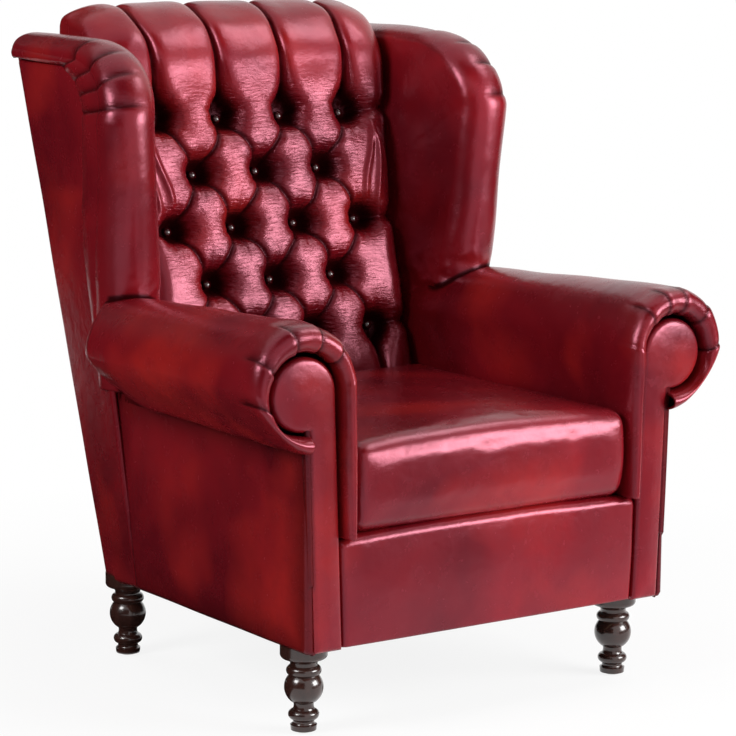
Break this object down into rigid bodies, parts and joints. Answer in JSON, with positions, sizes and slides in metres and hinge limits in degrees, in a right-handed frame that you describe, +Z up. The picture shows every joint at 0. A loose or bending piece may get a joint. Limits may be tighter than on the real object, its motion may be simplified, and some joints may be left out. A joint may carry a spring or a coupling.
{
  "type": "wingback chair",
  "caption": "Wingback armchair in glossy oxblood leather, with a deep-buttoned back, rolled arms, a loose seat cushion and turned dark wooden feet.",
  "frame": {"origin": "on the floor, under the middle of the chair's bounding box", "axes": "+Z up, the chair faces -Y, and the sitter's left hand is at +X"},
  "size_m": [0.935, 0.892, 1.096],
  "materials": {
    "oxblood_leather": "glossy antique oxblood with a worn patina",
    "dark_lacquered_wood": "very dark brown, glossy lacquer",
    "beech": "planed, bare",
    "plated_steel": "satin",
    "foam": "matt foam",
    "webbing": "woven, matt",
    "deck_cloth": "woven, matt",
    "black_cloth": "non-woven, matt"
  },
  "bodies": {
    "chair": {"arm_facing_left": "oxblood_leather", "arm_facing_right": "oxblood_leather", "arm_pad_left": "oxblood_leather", "arm_pad_right": "oxblood_leather", "arm_post_left": "beech", "arm_post_right": "beech", "arm_rail_left": "beech", "arm_rail_right": "beech", "arm_ring_left": "oxblood_leather", "arm_ring_right": "oxblood_leather", "arm_tuck_rail_left": "beech", "arm_tuck_rail_right": "beech", "back_buttons": "oxblood_leather", "back_pad": "oxblood_leather", "back_tuck_rail": "beech", "back_webbing": "webbing", "corner_blocks": "beech", "crest_rail": "beech", "dust_cover": "black_cloth", "foot_bolts": "plated_steel", "foot_front_left": "dark_lacquered_wood", "foot_front_right": "dark_lacquered_wood", "foot_glides": "plated_steel", "foot_inserts": "plated_steel", "foot_rear_left": "dark_lacquered_wood", "foot_rear_right": "dark_lacquered_wood", "frame_dowels": "beech", "front_border": "oxblood_leather", "outside_arm_left": "oxblood_leather", "outside_arm_right": "oxblood_leather", "outside_back": "oxblood_leather", "outside_wing_left": "oxblood_leather", "outside_wing_right": "oxblood_leather", "rear_post_left": "beech", "rear_post_right": "beech", "scroll_board_left": "beech", "scroll_board_right": "beech", "seat_deck": "deck_cloth", "seat_rail_front": "beech", "seat_rail_left": "beech", "seat_rail_rear": "beech", "seat_rail_right": "beech", "seat_springs": "plated_steel", "spring_clips": "plated_steel", "wing_board_left": "beech", "wing_board_right": "beech", "wing_pad_left": "oxblood_leather", "wing_pad_right": "oxblood_leather"},
    "seat_cushion": {"seat_cushion_cover": "oxblood_leather", "seat_cushion_core": "foam", "cushion_zip": "plated_steel"}
  },
  "joints": [
    {"name": "seat_cushion_lift", "type": "slide", "parent": "chair", "child": "seat_cushion", "axis": [0, 0, 1], "range_m": [0, 0.35]}
  ]
}
